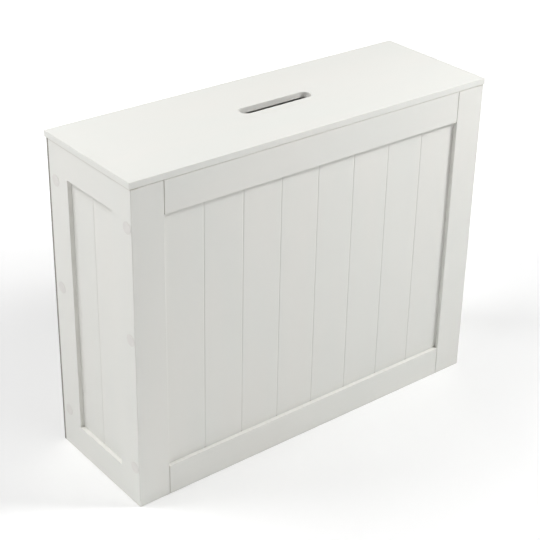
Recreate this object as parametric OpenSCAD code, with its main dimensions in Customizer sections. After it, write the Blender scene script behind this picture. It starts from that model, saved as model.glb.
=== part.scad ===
// Slim free-standing bathroom box with a lift-up lid, made of painted fibreboard.
// Front faces -Y, the wall is at +Y, the floor is Z = 0 and X = 0 is the middle of the lid.
// The lid is drawn shut, and turns about the hinge pins behind the hinge rail.

/* [Overall size] */
// Width of the lid, the widest piece
lid_w = 600; // [480:1:900]
// Depth of the lid from front to wall
lid_d = 200; // [170:1:320]
// Height from the floor to the top of the lid
unit_h = 479; // [400:1:800]

/* [Lid] */
// Thickness of the lid
lid_t = 9; // [9:0.5:18]
// How far the lid stands past each side panel
lid_side_overhang = 1.5; // [0.6:0.1:10]
// How far the lid stands past the front frame
lid_front_overhang = 0.5; // [0:0.1:10]
// How far the lid stands past the back panel
lid_rear_overhang = 2.7; // [1:0.1:3]
// Gap between the shut lid and the boards of the front and sides
lid_gap = 0.5; // [0.4:0.1:1.2]
// Length of the finger slot, over its round ends
slot_l = 120; // [80:1:200]
// Width of the finger slot
slot_w = 20.5; // [18:0.5:40]
// How far the slot lies behind the middle of the lid
slot_back = 1; // [-20:0.5:20]

/* [Boards] */
// Thickness of a side panel
side_t = 12; // [12:0.5:18]
// Thickness of the front stiles and rails
frame_t = 18; // [15:0.5:22]
// Width of a front stile, beside the side panel
stile_w = 36; // [30:0.5:70]
// Height of the top front rail
top_rail_h = 46.5; // [40:0.5:90]
// Height of the bottom front rail
bottom_rail_h = 46; // [40:0.5:90]
// Thickness of the back panel
back_t = 4; // [3:0.5:5]
// How far the back panel's edges lie inside the side panels' faces
back_inset = 0.3; // [0:0.1:2]
// Thickness of the base board
base_t = 9; // [6:0.5:15]
// Height of the base board's underside above the floor
base_z = 28; // [22:0.5:34]
// Side of the square battens under the base board
batten_s = 18; // [15:0.5:20]
// Width of a rear upright, across the unit
upright_w = 18; // [18:0.5:30]
// Depth of a rear upright, front to back
upright_d = 30; // [24:0.5:45]
// Thickness of the hinge rail and the rear bottom rail
rear_rail_t = 18; // [17:0.5:24]
// Height of the hinge rail
hinge_rail_h = 46; // [40:0.5:80]
// Radius of the eased arrises
arris_r = 0.8; // [0.3:0.1:1.5]
// Open joint between a front stile and a rail
joint_gap = 0.6; // [0.2:0.1:1.2]
// Play where a board drops in between others
board_play = 0.25; // [0.1:0.05:0.5]

/* [Front panel] */
// Thickness of the front panel
panel_t = 6; // [5:0.5:8]
// How far the panel lies behind the face of the frame
panel_recess = 6; // [3:0.5:7]
// How far the panel runs into the groove of the frame
panel_tongue = 6; // [4:0.5:9]
// Play behind and beyond the panel in its groove
panel_play = 0.2; // [0.1:0.05:0.5]
// Number of V-grooves across the panel
groove_count = 7; // [3:1:11]
// Distance from groove to groove
groove_pitch = 62.5; // [40:0.5:80]
// Width of a V-groove at the surface
groove_w = 2.8; // [1:0.1:4]
// Depth of a V-groove
groove_depth = 0.6; // [0.3:0.1:2.5]

/* [Side panels] */
// Depth of the recess routed into a side panel
side_recess = 6; // [2:0.5:7]
// Margin between the recess and the front and rear edges
side_margin = 44; // [35:0.5:60]
// Margin between the recess and the top edge
side_top_margin = 44; // [30:0.5:80]
// Margin between the recess and the floor
side_bottom_margin = 45; // [38:0.5:90]

/* [Side screws and covers] */
// Height of the lowest screw in each row
screw_low_z = 60; // [48:1:90]
// Height of the middle screw in each row
screw_mid_z = 257; // [200:1:300]
// Depth of the highest screw below the top edge
screw_high_drop = 54; // [50:1:90]
// Length of a side screw
side_screw_l = 28; // [20:1:29]
// Radius of a side screw's shank
side_screw_r = 2; // [1.5:0.1:2.5]
// Distance from the front edge of a side panel to the front row of screws
screw_front_inset = 10; // [8:0.5:12]
// Radius of a stick-on screw cover
cap_r = 8.5; // [6.5:0.5:9]
// Thickness of a stick-on screw cover
cap_t = 0.4; // [0.2:0.1:0.5]

/* [Dowels, battens and pins] */
// Radius of a dowel
dowel_r = 4; // [3:0.5:5]
// Length of a dowel
dowel_l = 30; // [24:1:35]
// How deep a dowel sits in a rear upright
upright_dowel_depth = 12; // [8:0.5:14]
// Length of a batten screw
batten_screw_l = 25; // [23:0.5:27]
// Length of a panel pin, under its head
pin_l = 20; // [15:1:24]
// Radius of a panel pin
pin_r = 0.7; // [0.5:0.1:1]

/* [Hinges] */
// Distance from the end of the lid to the middle of a hinge
hinge_inset = 100; // [75:1:150]
// Length of a hinge
hinge_l = 40; // [32:1:60]
// Width of a leaf, from the pin's axis to its edge
leaf_w = 17.5; // [15:0.5:19]
// Thickness of a leaf
leaf_t = 1; // [0.8:0.1:1.2]
// Play between the two leaves
leaf_play = 0.2; // [0.2:0.05:1]
// Radius of a hinge pin
hinge_pin_r = 1.1; // [0.9:0.1:1.3]
// Running clearance of the pin in the turning knuckles
pin_clearance = 0.05; // [0.02:0.01:0.1]
// Number of knuckles on a hinge
knuckle_count = 5; // [3:2:7]
// Play between one knuckle and the next, and round a knuckle
knuckle_play = 0.35; // [0.3:0.05:0.5]
// Radius of a hinge screw's shank
hinge_screw_r = 1.25; // [1:0.05:1.4]
// Length of a screw into the hinge rail
rail_screw_l = 14; // [10:1:20]
// Length of a screw into the lid
lid_screw_l = 8; // [6:0.5:8.5]

/* [Lid bumpers] */
// Radius of a bumper pad
bumper_r = 4; // [3:0.5:6]
// Distance from the end of the lid to the middle of a pad
bumper_inset = 20; // [18:0.5:40]
// Distance from the front of the frame to the edge of a pad
bumper_edge = 5; // [2:0.5:8]
// Play between a pad and the shut lid
bumper_play = 0.1; // [0.05:0.05:0.3]

/* [Hidden] */

PAINT = "#eeede8";
SHADE = "#dedcd5";
TIMBER = "#d9bf93";
FIBRE = "#8f8b82";
STEEL = "#b9bcc0";
RUBBER = "#d8d8d4";
OVER = 0.5;         // how far a cutter runs past the face it cuts
SNUG = 0.02;        // play of a screw, pin or dowel in its hole
$fn = 32;

lid_z = unit_h - lid_t;
carcass_h = lid_z - lid_gap;                        // top of the front frame and side panels
rear_h = lid_z - leaf_t - leaf_play;                // top of the rear frame, lower by a leaf
side_x = lid_w / 2 - lid_side_overhang;             // outer face of a side panel
inner_x = side_x - side_t;                          // inner face of a side panel
opening_x = inner_x - stile_w;                      // inner edge of a front stile
front_y = -lid_d / 2 + lid_front_overhang;          // face of the front frame
frame_rear_y = front_y + frame_t;
back_y = lid_d / 2 - lid_rear_overhang;             // rear face of the back panel
side_rear_y = back_y - back_t;                      // rear edge of a side panel
side_d = side_rear_y - front_y;
panel_y = front_y + panel_recess;
panel_top = carcass_h - top_rail_h;                 // visible top of the front panel
upright_x = inner_x - upright_w;
upright_y = side_rear_y - upright_d;
rear_rail_y = side_rear_y - rear_rail_t;
rear_rail_mid_y = side_rear_y - rear_rail_t / 2;
base_top = base_z + base_t;
batten_z = base_z - batten_s;
batten_mid_z = base_z - batten_s / 2;
frame_groove = panel_tongue + panel_play;

// Rows of side screws: into the edge of the front stile, and into the rear upright
screw_rows_y = [front_y + screw_front_inset, side_rear_y - upright_d / 2];
screw_heights = [screw_low_z, screw_mid_z, carcass_h - screw_high_drop];
side_head_r = 2 * side_screw_r;
side_head_sink = 0.3;

// Dowels: two in each end of a front rail, clear of the panel's groove
top_dowels_z = [carcass_h - (top_rail_h - frame_groove) * 0.75,
    carcass_h - (top_rail_h - frame_groove) * 0.3];
bottom_dowels_z = [(bottom_rail_h - frame_groove) * 0.25, (bottom_rail_h - frame_groove) * 0.7];
front_dowels_z = concat(top_dowels_z, bottom_dowels_z);
rear_dowels_z = [rear_h - hinge_rail_h * 0.75, rear_h - hinge_rail_h * 0.3, base_z / 2];
dowel_chamfer = 1;

// Batten screws, and pins through the base board and the back panel
batten_screw_r = 1.5;
batten_head_r = 3;
end_batten_d = upright_y - frame_rear_y;
end_batten_screws_y = [for (k = [0.2, 0.8]) frame_rear_y + batten_s + k * (end_batten_d - batten_s)];
front_batten_screws_x = [for (k = [-1, 0, 1]) k * upright_x * 0.75];
base_end_pins_y = [for (k = [0.25, 0.5, 0.7]) frame_rear_y + k * end_batten_d];
base_long_pins_x = [for (k = [-3, -1, 1, 3]) k * upright_x / 5];
back_side_pins_z = [for (k = [0 : 4]) rear_h * (0.05 + 0.225 * k)];
back_rail_pins_x = [for (k = [-3, -1, 1, 3]) k * upright_x / 4];
back_rail_pins_z = [base_z / 2, rear_h - hinge_rail_h * 0.6];
back_side_pins_x = side_x - side_t / 2;
pin_head_r = 2 * pin_r;
pin_head_t = 0.3;

// Hinges: the pin lies behind the hinge rail, just under the lid
knuckle_r = hinge_pin_r + pin_clearance + leaf_t;
hinge_y = side_rear_y + knuckle_play + knuckle_r;
hinge_z = lid_z - knuckle_play - knuckle_r;
hinge_x = lid_w / 2 - hinge_inset;
knuckle_l = hinge_l / knuckle_count;
hinge_screws_x = [for (k = [-1, 0, 1]) k * hinge_l * 0.34];
hinge_screws_y = hinge_y - leaf_w * 0.6;
hinge_head_sink = 0.05;
hinge_head_r = hinge_screw_r + leaf_t - 2 * hinge_head_sink;
pin_end_l = 0.8;                                    // peened end of a hinge pin
pin_end_r = hinge_pin_r + leaf_t / 2;
notch_play = 1.5;                                   // room round a hinge in the back panel

// Waste between a square corner at the origin and its arris of radius r
module arris_waste(r) {
    difference() {
        translate([-r, -r]) square(r + OVER);
        translate([-r, -r]) circle(r);
    }
}

// Rectangle from the origin; eased holds a 1 for each rounded corner, anticlockwise from there
module eased_rect(size, eased, r) {
    difference() {
        square(size);
        if (eased[0] > 0) rotate(180) arris_waste(r);
        if (eased[1] > 0) translate([size.x, 0]) rotate(270) arris_waste(r);
        if (eased[2] > 0) translate(size) arris_waste(r);
        if (eased[3] > 0) translate([0, size.y]) rotate(90) arris_waste(r);
    }
}

// Board from the origin. Its arrises along X, Y and Z are eased where a list holds a 1:
// along_x names the corners of the Y-Z outline, along_y of X-Z and along_z of X-Y
module board(size, along_x = [1, 1, 1, 1], along_y = [1, 1, 1, 1], along_z = [1, 1, 1, 1]) {
    intersection() {
        linear_extrude(size.z) eased_rect([size.x, size.y], along_z, arris_r);
        translate([0, size.y, 0]) rotate([90, 0, 0])
            linear_extrude(size.y) eased_rect([size.x, size.z], along_y, arris_r);
        rotate([90, 0, 90]) linear_extrude(size.x) eased_rect([size.y, size.z], along_x, arris_r);
    }
}

// Cross-section of a recess w wide and d deep, cut down from y = 0, with eased rims
module recess_section(w, d) {
    translate([0, -d]) square([w, d + OVER]);
    arris_waste(arris_r);
    translate([w, 0]) mirror([1, 0]) arris_waste(arris_r);
}

// V-groove along Z, cut into a face at y = 0 whose board lies at +Y
module v_groove(length) {
    linear_extrude(length)
        polygon([[-groove_w / 2, 0], [-groove_w / 2, -OVER], [groove_w / 2, -OVER],
            [groove_w / 2, 0], [0, groove_depth]]);
}

// Countersunk screw along -Z with its head's face at z = 0, and the hole that it needs
module screw(length, shank_r, head_r) {
    head_h = head_r - shank_r;
    tip_h = 2 * shank_r;
    recess_w = head_r * 0.28;
    difference() {
        union() {
            translate([0, 0, -head_h]) cylinder(h = head_h, r1 = shank_r, r2 = head_r);
            translate([0, 0, tip_h - length]) cylinder(h = length - tip_h - head_h, r = shank_r);
            translate([0, 0, -length]) cylinder(h = tip_h, r1 = shank_r * 0.15, r2 = shank_r);
        }
        for (turn = [0, 90])
            rotate(turn) translate([-head_r * 0.6, -recess_w / 2, -head_h * 0.7])
                cube([head_r * 1.2, recess_w, head_h]);
    }
}

module screw_hole(length, shank_r, head_r) {
    head_h = head_r - shank_r;
    translate([0, 0, -head_h])
        cylinder(h = head_h, r1 = shank_r + SNUG, r2 = head_r + SNUG);
    translate([0, 0, -length - OVER]) cylinder(h = length + OVER, r = shank_r + SNUG);
    cylinder(h = OVER, r = head_r + SNUG);
}

// Panel pin along -Z with its flat head standing on z = 0, and the hole that it needs
module pin() {
    tip_h = 2 * pin_r;
    cylinder(h = pin_head_t, r = pin_head_r);
    translate([0, 0, tip_h - pin_l]) cylinder(h = pin_l - tip_h, r = pin_r);
    translate([0, 0, -pin_l]) cylinder(h = tip_h, r1 = pin_r * 0.2, r2 = pin_r);
}

module pin_hole() {
    translate([0, 0, -pin_l - OVER]) cylinder(h = pin_l + 2 * OVER, r = pin_r + SNUG);
}

// Dowel along X, centred, with chamfered ends, and the bore that it needs
module dowel() {
    rotate([0, 90, 0]) {
        translate([0, 0, dowel_chamfer - dowel_l / 2])
            cylinder(h = dowel_l - 2 * dowel_chamfer, r = dowel_r);
        for (end = [0, 1])
            mirror([0, 0, end]) translate([0, 0, dowel_l / 2 - dowel_chamfer])
                cylinder(h = dowel_chamfer, r1 = dowel_r, r2 = dowel_r - dowel_chamfer);
    }
}

module dowel_bore() {
    rotate([0, 90, 0]) translate([0, 0, -dowel_l / 2 - OVER])
        cylinder(h = dowel_l + 2 * OVER, r = dowel_r + SNUG);
}

// Puts a copy of its children on each side of the unit
module both_sides() {
    for (side = [0, 1])
        mirror([side, 0, 0]) children();
}

// Places of the fasteners: each turns its child so that -Z points into the wood
module at_left_side_screws() {
    for (y = screw_rows_y, z = screw_heights)
        translate([-side_x + side_head_sink, y, z]) rotate([0, -90, 0]) children();
}

module at_left_end_batten_screws() {
    for (y = end_batten_screws_y)
        translate([-inner_x + batten_s, y, batten_mid_z]) rotate([0, 90, 0]) children();
}

module at_front_batten_screws() {
    for (x = front_batten_screws_x)
        translate([x, frame_rear_y + batten_s, batten_mid_z]) rotate([-90, 0, 0]) children();
}

module at_left_front_dowels() {
    for (z = front_dowels_z)
        translate([-opening_x, front_y + frame_t / 2, z]) children();
}

module at_left_rear_dowels() {
    for (z = rear_dowels_z)
        translate([dowel_l / 2 - upright_dowel_depth - upright_x, rear_rail_mid_y, z]) children();
}

module at_left_base_pins() {
    for (y = base_end_pins_y)
        translate([batten_s / 2 - inner_x, y, base_top]) children();
}

module at_long_base_pins() {
    for (x = base_long_pins_x, y = [frame_rear_y + batten_s / 2, rear_rail_mid_y])
        translate([x, y, base_top]) children();
}

module at_left_back_pins() {
    for (z = back_side_pins_z)
        translate([-back_side_pins_x, back_y, z]) rotate([-90, 0, 0]) children();
}

module at_rail_back_pins() {
    for (x = back_rail_pins_x, z = back_rail_pins_z)
        translate([x, back_y, z]) rotate([-90, 0, 0]) children();
}

module at_hinges() {
    for (x = [-hinge_x, hinge_x])
        translate([x, 0, 0]) children();
}

module at_rail_screws() {
    for (x = hinge_screws_x)
        translate([x, hinge_screws_y, rear_h - hinge_head_sink]) children();
}

module at_lid_screws() {
    for (x = hinge_screws_x)
        translate([x, hinge_screws_y, lid_z - leaf_t + hinge_head_sink]) mirror([0, 0, 1]) children();
}

// Half of the finger slot's section, outwards from its middle plane, with eased rims
module slot_half_section() {
    translate([0, -OVER]) square([slot_w / 2, lid_t + 2 * OVER]);
    translate([slot_w / 2, lid_t]) mirror([1, 0]) arris_waste(arris_r);
    translate([slot_w / 2, 0]) rotate(180) arris_waste(arris_r);
}

// Finger slot, cut right through a lid whose underside is at z = 0
module finger_slot() {
    straight = slot_l - slot_w;
    for (side = [0, 1])
        mirror([0, side, 0]) translate([-straight / 2, 0, 0]) rotate([90, 0, 90])
            linear_extrude(straight) slot_half_section();
    for (end = [-1, 1])
        translate([end * straight / 2, 0, 0]) rotate_extrude() slot_half_section();
}

module lid() {
    color(PAINT) difference() {
        translate([-lid_w / 2, -lid_d / 2, lid_z]) board([lid_w, lid_d, lid_t]);
        translate([0, slot_back, lid_z]) finger_slot();
        at_hinges() at_lid_screws() screw_hole(lid_screw_l, hinge_screw_r, hinge_head_r);
    }
}

// Side panel on the left; its inner front arris stays sharp, so it meets the stile flush
module side_panel() {
    recess_d = side_d - 2 * side_margin;
    recess_h = carcass_h - side_top_margin - side_bottom_margin;
    difference() {
        translate([-side_x, front_y, 0])
            board([side_t, side_d, carcass_h], along_x = [1, 0, 0, 1], along_y = [1, 0, 1, 1],
                along_z = [1, 0, 0, 1]);
        intersection() {
            translate([-side_x, front_y + side_margin, 0]) rotate(90)
                linear_extrude(carcass_h) recess_section(recess_d, side_recess);
            translate([-side_x, side_rear_y, side_bottom_margin]) rotate([90, -90, 0])
                linear_extrude(side_d) recess_section(recess_h, side_recess);
        }
        translate([side_recess - side_x, front_y + side_d / 2, side_bottom_margin])
            rotate(-90) v_groove(recess_h);
        at_left_side_screws() screw_hole(side_screw_l, side_screw_r, side_head_r);
        at_left_end_batten_screws() screw_hole(batten_screw_l, batten_screw_r, batten_head_r);
        at_left_back_pins() pin_hole();
    }
}

module left_side_panel() {
    color(PAINT) side_panel();
}

module right_side_panel() {
    color(PAINT) mirror([1, 0, 0]) side_panel();
}

// Front stile on the left, grooved along its inner edge for the front panel
module front_stile() {
    difference() {
        translate([-inner_x, front_y, 0])
            board([stile_w, frame_t, carcass_h], along_x = [1, 0, 0, 1], along_y = [0, 0, 0, 0],
                along_z = [0, 1, 0, 0]);
        translate([-opening_x - frame_groove, panel_y, bottom_rail_h - frame_groove])
            cube([frame_groove + OVER, panel_t + panel_play,
                panel_top - bottom_rail_h + 2 * frame_groove]);
        at_left_front_dowels() dowel_bore();
        at_left_side_screws() screw_hole(side_screw_l, side_screw_r, side_head_r);
    }
}

module left_front_stile() {
    color(PAINT) front_stile();
}

module right_front_stile() {
    color(PAINT) mirror([1, 0, 0]) front_stile();
}

// Front rail of height h standing at z, before its panel groove is cut
module front_rail(z, h) {
    rail_x = opening_x - joint_gap;
    difference() {
        translate([-rail_x, front_y, z])
            board([2 * rail_x, frame_t, h], along_x = [1, 0, 0, 1], along_y = [0, 0, 0, 0],
                along_z = [1, 1, 0, 0]);
        both_sides() at_left_front_dowels() dowel_bore();
    }
}

module rail_groove(z) {
    translate([-opening_x, panel_y, z])
        cube([2 * opening_x, panel_t + panel_play, frame_groove + OVER]);
}

module top_front_rail() {
    color(PAINT) difference() {
        front_rail(panel_top, top_rail_h);
        rail_groove(panel_top - OVER);
    }
}

module bottom_front_rail() {
    color(PAINT) difference() {
        front_rail(0, bottom_rail_h);
        rail_groove(bottom_rail_h - frame_groove);
        at_front_batten_screws() screw_hole(batten_screw_l, batten_screw_r, batten_head_r);
    }
}

// Grooved board that stands in the grooves of the front frame
module front_panel() {
    panel_x = opening_x + panel_tongue;
    panel_z = bottom_rail_h - panel_tongue;
    panel_h = panel_top - bottom_rail_h + 2 * panel_tongue;
    color(PAINT) difference() {
        translate([-panel_x, panel_y, panel_z]) cube([2 * panel_x, panel_t, panel_h]);
        for (i = [0 : groove_count - 1])
            translate([(i - (groove_count - 1) / 2) * groove_pitch, panel_y, panel_z])
                v_groove(panel_h);
    }
}

module rear_upright() {
    difference() {
        translate([-inner_x, upright_y, 0]) cube([upright_w, upright_d, rear_h]);
        at_left_rear_dowels() dowel_bore();
        at_left_side_screws() screw_hole(side_screw_l, side_screw_r, side_head_r);
    }
}

module left_rear_upright() {
    color(SHADE) rear_upright();
}

module right_rear_upright() {
    color(SHADE) mirror([1, 0, 0]) rear_upright();
}

// Rear top rail, let in for the fixed leaves of the hinges
module hinge_rail() {
    color(SHADE) difference() {
        translate([-upright_x, rear_rail_y, rear_h - hinge_rail_h])
            cube([2 * upright_x, rear_rail_t, hinge_rail_h]);
        at_hinges() {
            translate([-hinge_l / 2 - SNUG, hinge_y - leaf_w - SNUG, rear_h - leaf_t])
                cube([hinge_l + 2 * SNUG, leaf_w + OVER, leaf_t + OVER]);
            at_rail_screws() screw_hole(rail_screw_l, hinge_screw_r, hinge_head_r);
        }
        both_sides() at_left_rear_dowels() dowel_bore();
        at_rail_back_pins() pin_hole();
    }
}

module rear_bottom_rail() {
    color(SHADE) difference() {
        translate([-upright_x, rear_rail_y, 0]) cube([2 * upright_x, rear_rail_t, base_z]);
        both_sides() at_left_rear_dowels() dowel_bore();
        at_rail_back_pins() pin_hole();
        at_long_base_pins() pin_hole();
    }
}

// Thin board on the rear edges, notched at the top round the hinges' barrels
module back_panel() {
    back_x = side_x - back_inset;
    notch_z = hinge_z - knuckle_r - notch_play;
    color(FIBRE) difference() {
        translate([-back_x, side_rear_y, 0]) cube([2 * back_x, back_t, rear_h]);
        at_hinges() translate([-hinge_l / 2 - notch_play, side_rear_y - OVER, notch_z])
            cube([hinge_l + 2 * notch_play, back_t + 2 * OVER, rear_h]);
        both_sides() at_left_back_pins() pin_hole();
        at_rail_back_pins() pin_hole();
    }
}

// Base board, cut out at its rear corners round the uprights
module base_board() {
    board_x = inner_x - board_play;
    color(PAINT) difference() {
        translate([-board_x, frame_rear_y + board_play, base_z])
            cube([2 * board_x, side_rear_y - frame_rear_y - 2 * board_play, base_t]);
        both_sides() translate([upright_x - board_play, upright_y - board_play, base_z - OVER])
            cube([upright_w + board_play, upright_d + board_play, base_t + 2 * OVER]);
        both_sides() at_left_base_pins() pin_hole();
        at_long_base_pins() pin_hole();
    }
}

module front_batten() {
    batten_x = inner_x - batten_s - board_play;
    color(TIMBER) difference() {
        translate([-batten_x, frame_rear_y, batten_z]) cube([2 * batten_x, batten_s, batten_s]);
        at_front_batten_screws() screw_hole(batten_screw_l, batten_screw_r, batten_head_r);
        at_long_base_pins() pin_hole();
    }
}

module end_batten() {
    difference() {
        translate([-inner_x, frame_rear_y, batten_z])
            cube([batten_s, end_batten_d - board_play, batten_s]);
        at_left_end_batten_screws() screw_hole(batten_screw_l, batten_screw_r, batten_head_r);
        at_left_base_pins() pin_hole();
    }
}

module left_end_batten() {
    color(TIMBER) end_batten();
}

module right_end_batten() {
    color(TIMBER) mirror([1, 0, 0]) end_batten();
}

module front_frame_dowels() {
    color(TIMBER) both_sides() at_left_front_dowels() dowel();
}

module rear_frame_dowels() {
    color(TIMBER) both_sides() at_left_rear_dowels() dowel();
}

module left_side_screws() {
    color(STEEL) at_left_side_screws() screw(side_screw_l, side_screw_r, side_head_r);
}

module right_side_screws() {
    color(STEEL) mirror([1, 0, 0])
        at_left_side_screws() screw(side_screw_l, side_screw_r, side_head_r);
}

module screw_caps() {
    for (y = screw_rows_y, z = screw_heights)
        translate([-side_x, y, z]) rotate([0, -90, 0])
            cylinder(h = cap_t, r1 = cap_r, r2 = cap_r - cap_t / 2);
}

module left_screw_caps() {
    color(SHADE) screw_caps();
}

module right_screw_caps() {
    color(SHADE) mirror([1, 0, 0]) screw_caps();
}

module batten_screws() {
    color(STEEL) {
        both_sides() at_left_end_batten_screws()
            screw(batten_screw_l, batten_screw_r, batten_head_r);
        at_front_batten_screws() screw(batten_screw_l, batten_screw_r, batten_head_r);
    }
}

module base_board_pins() {
    color(STEEL) {
        both_sides() at_left_base_pins() pin();
        at_long_base_pins() pin();
    }
}

module back_panel_pins() {
    color(STEEL) {
        both_sides() at_left_back_pins() pin();
        at_rail_back_pins() pin();
    }
}

module lid_bumpers() {
    pad_h = lid_gap - bumper_play;
    color(RUBBER) both_sides()
        translate([bumper_inset - lid_w / 2, front_y + bumper_edge + bumper_r, carcass_h]) {
            cylinder(h = pad_h / 2, r = bumper_r);
            translate([0, 0, pad_h / 2])
                cylinder(h = pad_h / 2, r1 = bumper_r, r2 = bumper_r - pad_h / 2);
        }
}

// Knuckles of one leaf: first is 0 for the fixed leaf's and 1 for the moving leaf's
module knuckles(first, play) {
    for (i = [first : 2 : knuckle_count - 1])
        translate([-hinge_l / 2 + i * knuckle_l + play / 2, hinge_y, hinge_z]) rotate([0, 90, 0])
            cylinder(h = knuckle_l - play, r = knuckle_r);
}

// Room that a leaf leaves for the other leaf's knuckles
module knuckle_rooms(first, play) {
    for (i = [first : 2 : knuckle_count - 1])
        translate([-hinge_l / 2 + i * knuckle_l - play / 2, hinge_y - knuckle_r - knuckle_play,
            hinge_z - knuckle_r])
            cube([knuckle_l + play, 2 * knuckle_r + knuckle_play, 2 * knuckle_r + leaf_t]);
}

module pin_bore() {
    translate([-hinge_l, hinge_y, hinge_z]) rotate([0, 90, 0])
        cylinder(h = 2 * hinge_l, r = hinge_pin_r + pin_clearance);
}

module fixed_leaf() {
    difference() {
        union() {
            difference() {
                translate([-hinge_l / 2, hinge_y - leaf_w, rear_h - leaf_t])
                    cube([hinge_l, leaf_w, leaf_t]);
                knuckle_rooms(1, 0);
            }
            knuckles(0, 0);
        }
        pin_bore();
        at_rail_screws() screw_hole(rail_screw_l, hinge_screw_r, hinge_head_r);
    }
}

module moving_leaf() {
    difference() {
        union() {
            difference() {
                translate([-hinge_l / 2, hinge_y - leaf_w, lid_z - leaf_t])
                    cube([hinge_l, leaf_w, leaf_t]);
                knuckle_rooms(0, knuckle_play);
            }
            knuckles(1, knuckle_play);
        }
        pin_bore();
        at_lid_screws() screw_hole(lid_screw_l, hinge_screw_r, hinge_head_r);
    }
}

module hinge_pin() {
    translate([-hinge_l / 2, hinge_y, hinge_z]) rotate([0, 90, 0]) {
        cylinder(h = hinge_l, r = hinge_pin_r);
        for (z = [-pin_end_l, hinge_l])
            translate([0, 0, z]) cylinder(h = pin_end_l, r = pin_end_r);
    }
}

module left_hinge_fixed_leaf() {
    color(STEEL) translate([-hinge_x, 0, 0]) fixed_leaf();
}

module left_hinge_moving_leaf() {
    color(STEEL) translate([-hinge_x, 0, 0]) moving_leaf();
}

module left_hinge_pin() {
    color(STEEL) translate([-hinge_x, 0, 0]) hinge_pin();
}

module right_hinge_fixed_leaf() {
    color(STEEL) translate([hinge_x, 0, 0]) fixed_leaf();
}

module right_hinge_moving_leaf() {
    color(STEEL) translate([hinge_x, 0, 0]) moving_leaf();
}

module right_hinge_pin() {
    color(STEEL) translate([hinge_x, 0, 0]) hinge_pin();
}

module hinge_rail_screws() {
    color(STEEL) at_hinges() at_rail_screws() screw(rail_screw_l, hinge_screw_r, hinge_head_r);
}

module hinge_lid_screws() {
    color(STEEL) at_hinges() at_lid_screws() screw(lid_screw_l, hinge_screw_r, hinge_head_r);
}

lid();
left_side_panel();
right_side_panel();
left_front_stile();
right_front_stile();
top_front_rail();
bottom_front_rail();
front_panel();
left_rear_upright();
right_rear_upright();
hinge_rail();
rear_bottom_rail();
back_panel();
base_board();
front_batten();
left_end_batten();
right_end_batten();
front_frame_dowels();
rear_frame_dowels();
left_side_screws();
right_side_screws();
left_screw_caps();
right_screw_caps();
batten_screws();
base_board_pins();
back_panel_pins();
lid_bumpers();
left_hinge_fixed_leaf();
left_hinge_moving_leaf();
left_hinge_pin();
right_hinge_fixed_leaf();
right_hinge_moving_leaf();
right_hinge_pin();
hinge_rail_screws();
hinge_lid_screws();
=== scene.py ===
# %% [markdown]
# # A slim lidded box for the bathroom wall
#
# The real object is a narrow storage box, 60 cm wide and 20 cm deep, made of
# fibreboard and sprayed off-white. It has a panelled front, a routed recess in
# each side, and a hinged lid with a finger slot. Its boards were drawn in CAD,
# in millimetres, and packed as a frame. They could be modelled again here, but
# then the lid and its hinges might no longer meet. So Blender keeps every board
# where it is and gives it a finish, a floor, light and a camera.
#
# The frame is loaded first. Each CAD piece arrives as an object at the origin
# whose mesh lies where the piece is, in metres, with Z up and the front
# towards -Y. The box's size is measured and kept.

# %% Load the imported box
import math

import bpy
from mathutils import Matrix, Vector


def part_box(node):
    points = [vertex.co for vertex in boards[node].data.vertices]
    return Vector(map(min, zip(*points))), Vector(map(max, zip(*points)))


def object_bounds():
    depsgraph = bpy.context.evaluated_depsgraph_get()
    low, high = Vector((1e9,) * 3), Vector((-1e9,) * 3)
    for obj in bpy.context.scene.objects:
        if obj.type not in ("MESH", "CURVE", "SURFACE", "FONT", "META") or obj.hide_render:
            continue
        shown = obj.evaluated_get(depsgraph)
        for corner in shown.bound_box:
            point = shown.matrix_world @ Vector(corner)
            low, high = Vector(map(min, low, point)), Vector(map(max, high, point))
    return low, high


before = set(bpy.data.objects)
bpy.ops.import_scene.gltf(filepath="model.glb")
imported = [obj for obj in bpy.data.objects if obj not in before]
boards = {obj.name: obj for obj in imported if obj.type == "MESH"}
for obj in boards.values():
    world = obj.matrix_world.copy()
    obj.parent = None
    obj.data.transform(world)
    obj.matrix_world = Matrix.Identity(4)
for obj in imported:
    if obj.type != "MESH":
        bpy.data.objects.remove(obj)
cad_low, cad_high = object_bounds()
print("pieces:", len(boards), " box:", [round(v, 4) for v in cad_high - cad_low])

# %% [markdown]
# ## The camera
#
# The photograph was taken from the front left, well above the lid. A Track To
# constraint could aim a camera at the box, but place and lens would still be
# guesses. Here all of them were fitted to the corners of the box, and the fit
# is written down as it came: one point and three directions. Turned to right,
# up and backwards, the directions are the columns of the camera's matrix. A
# small vertical shift keeps the upright edges from leaning too much, as a
# product photographer's camera does.

# %% Stand the camera where the photographer stood
camera_place = Vector((-1.0745, -1.3337, 1.1598))
camera_right = Vector((0.785930, -0.618062, 0.017703))
camera_down = Vector((-0.271767, -0.371014, -0.887970))
camera_ahead = Vector((0.555389, 0.693072, -0.459560))

camera_data = bpy.data.cameras.new("studio_camera")
camera_data.sensor_width = 36.0
camera_data.lens = 90.61
camera_data.shift_y = -0.06
camera_data.clip_start = 0.05
camera = bpy.data.objects.new("studio_camera", camera_data)
camera_turn = Matrix((camera_right, -camera_down, -camera_ahead)).transposed()
camera.matrix_world = Matrix.Translation(camera_place) @ camera_turn.to_4x4()
bpy.context.scene.collection.objects.link(camera)
bpy.context.scene.camera = camera
print("camera to box:", round((camera_place - (cad_low + cad_high) / 2).length, 3), "m")

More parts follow.
